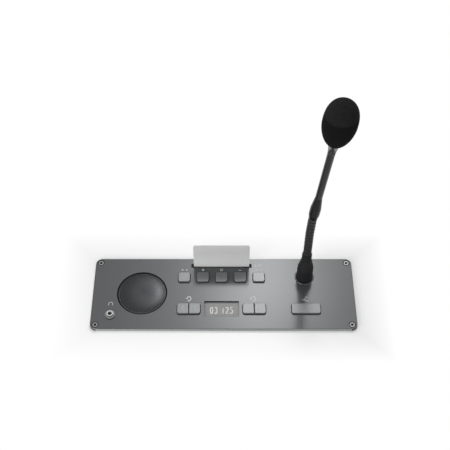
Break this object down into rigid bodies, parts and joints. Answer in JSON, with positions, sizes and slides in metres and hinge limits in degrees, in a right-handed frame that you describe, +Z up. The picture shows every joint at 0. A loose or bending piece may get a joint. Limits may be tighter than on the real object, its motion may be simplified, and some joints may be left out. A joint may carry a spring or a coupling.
{
  "type": "conference delegate unit",
  "caption": "Flush-mounted table unit for meetings, with a gooseneck microphone, loudspeaker, display, voting and channel keys, a headphone socket and an upright card in its slot.",
  "frame": {"origin": "centre of the front panel's underside, in the plane that lies on the table", "axes": "+Z up out of the table, +X to the user's right, +Y away from the user"},
  "size_m": [0.25, 0.08, 0.2968],
  "materials": {
    "panel_metal": "satin grey metallic coat",
    "black_plastic": "fine matt",
    "key_plastic": "silver satin coat",
    "grille_steel": "dark satin coat",
    "inner_steel": "zinc plated",
    "nickel": "bright nickel",
    "dark_coat": "dark satin coat",
    "dark_chrome": "dark chrome",
    "foam": "open-cell foam",
    "paper": "pressed paper",
    "rubber": "matt",
    "magnet": "ferrite",
    "lens": "clear window",
    "glass": "polished",
    "card": "satin laminate",
    "light_ring": "frosted translucent",
    "gold": "gold plated",
    "board": "solder mask",
    "housing_plastic": "textured",
    "brass": "turned",
    "tube_metal": "black anodised"
  },
  "bodies": {
    "chassis": {"front_panel": "panel_metal", "panel_screws": "dark_coat", "speaker_grille": "grille_steel", "speaker_gasket": "rubber", "speaker_basket": "inner_steel", "speaker_surround": "rubber", "speaker_magnet": "magnet", "speaker_yoke": "inner_steel", "display_lens": "lens", "display_panel": "glass", "display_frame": "black_plastic", "slot_bezel": "black_plastic", "card_reader": "black_plastic", "card_contacts": "gold", "jack_barrel": "nickel", "jack_nut": "dark_coat", "jack_body": "black_plastic", "mic_socket": "black_plastic", "mic_socket_ring": "dark_chrome", "socket_pins": "gold", "main_board": "board", "board_standoffs": "brass", "key_guide": "black_plastic", "key_switches": "black_plastic", "network_board": "board", "network_sockets": "nickel", "board_components": "black_plastic", "rear_housing": "housing_plastic", "housing_pillars": "inner_steel", "housing_screws": "inner_steel", "small_screws": "inner_steel"},
    "card": {"id_card": "card"},
    "membrane": {"speaker_cone": "paper", "voice_coil": "brass"},
    "mic_foot": {"mic_plug": "inner_steel", "plug_insert": "black_plastic", "mic_sleeve": "black_plastic", "neck_base": "rubber"},
    "neck_1": {"neck_link_1": "rubber"},
    "neck_2": {"neck_link_2": "rubber"},
    "neck_3": {"neck_link_3": "rubber"},
    "neck_4": {"neck_link_4": "rubber"},
    "neck_5": {"neck_link_5": "rubber"},
    "mic_head": {"neck_top": "rubber", "neck_coupling": "black_plastic", "mic_tube": "tube_metal", "led_collar": "light_ring", "capsule_housing": "tube_metal", "mic_capsule": "nickel", "windscreen": "foam"},
    "vote_key_1": {"vote_key_1": "key_plastic"},
    "vote_key_2": {"vote_key_2": "key_plastic"},
    "vote_key_3": {"vote_key_3": "key_plastic"},
    "vote_key_4": {"vote_key_4": "key_plastic"},
    "vote_key_5": {"vote_key_5": "key_plastic"},
    "channel_down_key": {"channel_down_key": "key_plastic"},
    "channel_up_key": {"channel_up_key": "key_plastic"},
    "volume_down_key": {"volume_down_key": "key_plastic"},
    "volume_up_key": {"volume_up_key": "key_plastic"},
    "mic_key": {"mic_key": "key_plastic"}
  },
  "joints": [
    {"name": "card_slide", "type": "slide", "parent": "chassis", "child": "card", "axis": [0, 0, 1], "range_m": [0, 0.052]},
    {"name": "cone_travel", "type": "slide", "parent": "chassis", "child": "membrane", "axis": [0, 0, 1], "range_m": [-0.0006, 0.0006], "stiffness_N_per_m": 1500, "deforming": ["speaker_surround"]},
    {"name": "vote_key_1_press", "type": "slide", "parent": "chassis", "child": "vote_key_1", "axis": [0, 0, -1], "range_m": [0, 0.001], "stiffness_N_per_m": 1200, "springref_m": -0.0005},
    {"name": "vote_key_2_press", "type": "slide", "parent": "chassis", "child": "vote_key_2", "axis": [0, 0, -1], "range_m": [0, 0.001], "stiffness_N_per_m": 1200, "springref_m": -0.0005},
    {"name": "vote_key_3_press", "type": "slide", "parent": "chassis", "child": "vote_key_3", "axis": [0, 0, -1], "range_m": [0, 0.001], "stiffness_N_per_m": 1200, "springref_m": -0.0005},
    {"name": "vote_key_4_press", "type": "slide", "parent": "chassis", "child": "vote_key_4", "axis": [0, 0, -1], "range_m": [0, 0.001], "stiffness_N_per_m": 1200, "springref_m": -0.0005},
    {"name": "vote_key_5_press", "type": "slide", "parent": "chassis", "child": "vote_key_5", "axis": [0, 0, -1], "range_m": [0, 0.001], "stiffness_N_per_m": 1200, "springref_m": -0.0005},
    {"name": "channel_down_key_press", "type": "slide", "parent": "chassis", "child": "channel_down_key", "axis": [0, 0, -1], "range_m": [0, 0.001], "stiffness_N_per_m": 1200, "springref_m": -0.0005},
    {"name": "channel_up_key_press", "type": "slide", "parent": "chassis", "child": "channel_up_key", "axis": [0, 0, -1], "range_m": [0, 0.001], "stiffness_N_per_m": 1200, "springref_m": -0.0005},
    {"name": "volume_down_key_press", "type": "slide", "parent": "chassis", "child": "volume_down_key", "axis": [0, 0, -1], "range_m": [0, 0.001], "stiffness_N_per_m": 1200, "springref_m": -0.0005},
    {"name": "volume_up_key_press", "type": "slide", "parent": "chassis", "child": "volume_up_key", "axis": [0, 0, -1], "range_m": [0, 0.001], "stiffness_N_per_m": 1200, "springref_m": -0.0005},
    {"name": "mic_key_press", "type": "slide", "parent": "chassis", "child": "mic_key", "axis": [0, 0, -1], "range_m": [0, 0.001], "stiffness_N_per_m": 1200, "springref_m": -0.0005},
    {"name": "mic_unplug", "type": "slide", "parent": "chassis", "child": "mic_foot", "axis": [0, 0, 1], "range_m": [0, 0.022]},
    {"name": "nod_1", "type": "hinge", "parent": "mic_foot", "child": "neck_1", "pos_m": [0.0781, 0.0186, 0.04567], "axis": [1, 0, 0], "range_deg": [-20, 20]},
    {"name": "sway_1", "type": "hinge", "parent": "neck_1", "child": "neck_2", "pos_m": [0.0781, 0.0186, 0.055], "axis": [0, 1, 0], "range_deg": [-20, 20]},
    {"name": "nod_2", "type": "hinge", "parent": "neck_2", "child": "neck_3", "pos_m": [0.0781, 0.0186, 0.06433], "axis": [1, 0, 0], "range_deg": [-20, 20]},
    {"name": "sway_2", "type": "hinge", "parent": "neck_3", "child": "neck_4", "pos_m": [0.0781, 0.0186, 0.07367], "axis": [0, 1, 0], "range_deg": [-20, 20]},
    {"name": "nod_3", "type": "hinge", "parent": "neck_4", "child": "neck_5", "pos_m": [0.07849, 0.0186, 0.08299], "axis": [0.9991, 0, -0.0419], "range_deg": [-20, 20]},
    {"name": "sway_3", "type": "hinge", "parent": "neck_5", "child": "mic_head", "pos_m": [0.07888, 0.0186, 0.09232], "axis": [0, 1, 0], "range_deg": [-20, 20]}
  ],
  "couplings": [
    {"joint": "nod_2", "follows": "nod_1", "ratio": 1},
    {"joint": "nod_3", "follows": "nod_1", "ratio": 1},
    {"joint": "sway_2", "follows": "sway_1", "ratio": 1},
    {"joint": "sway_3", "follows": "sway_1", "ratio": 1}
  ]
}
